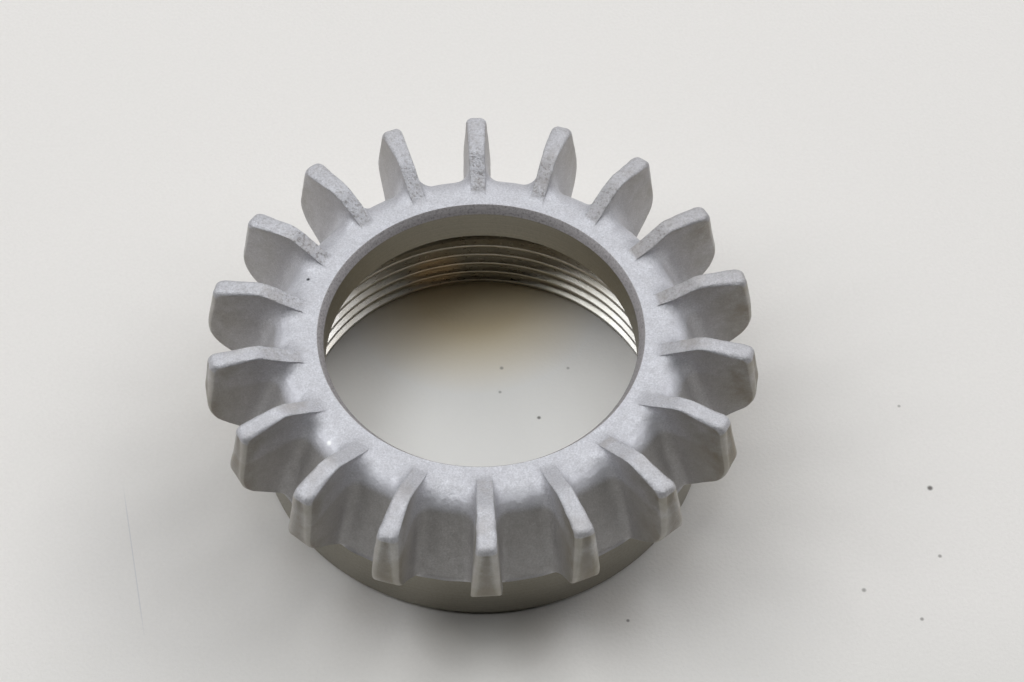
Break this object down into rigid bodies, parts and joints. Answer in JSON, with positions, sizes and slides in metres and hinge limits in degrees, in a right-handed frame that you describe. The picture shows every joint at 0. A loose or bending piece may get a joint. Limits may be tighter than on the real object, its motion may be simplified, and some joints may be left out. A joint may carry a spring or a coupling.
{
  "type": "finned exhaust nut",
  "caption": "Cast aluminium exhaust header nut with cooling fins round its ring, an inward lip for the pipe and a fine internal thread for the exhaust port.",
  "frame": {"origin": "centre of the open, threaded end face, on the axis of the thread", "axes": "+Z along the thread and bore axis from the threaded end to the lip, -Y through the middle of a fin"},
  "size_m": [0.0742, 0.0748, 0.0251],
  "materials": {
    "cast_aluminium": "matte as-cast fins and ring, turned skirt, lip and thread"
  },
  "bodies": {
    "root": {"finned_nut": "cast_aluminium"}
  },
  "joints": []
}
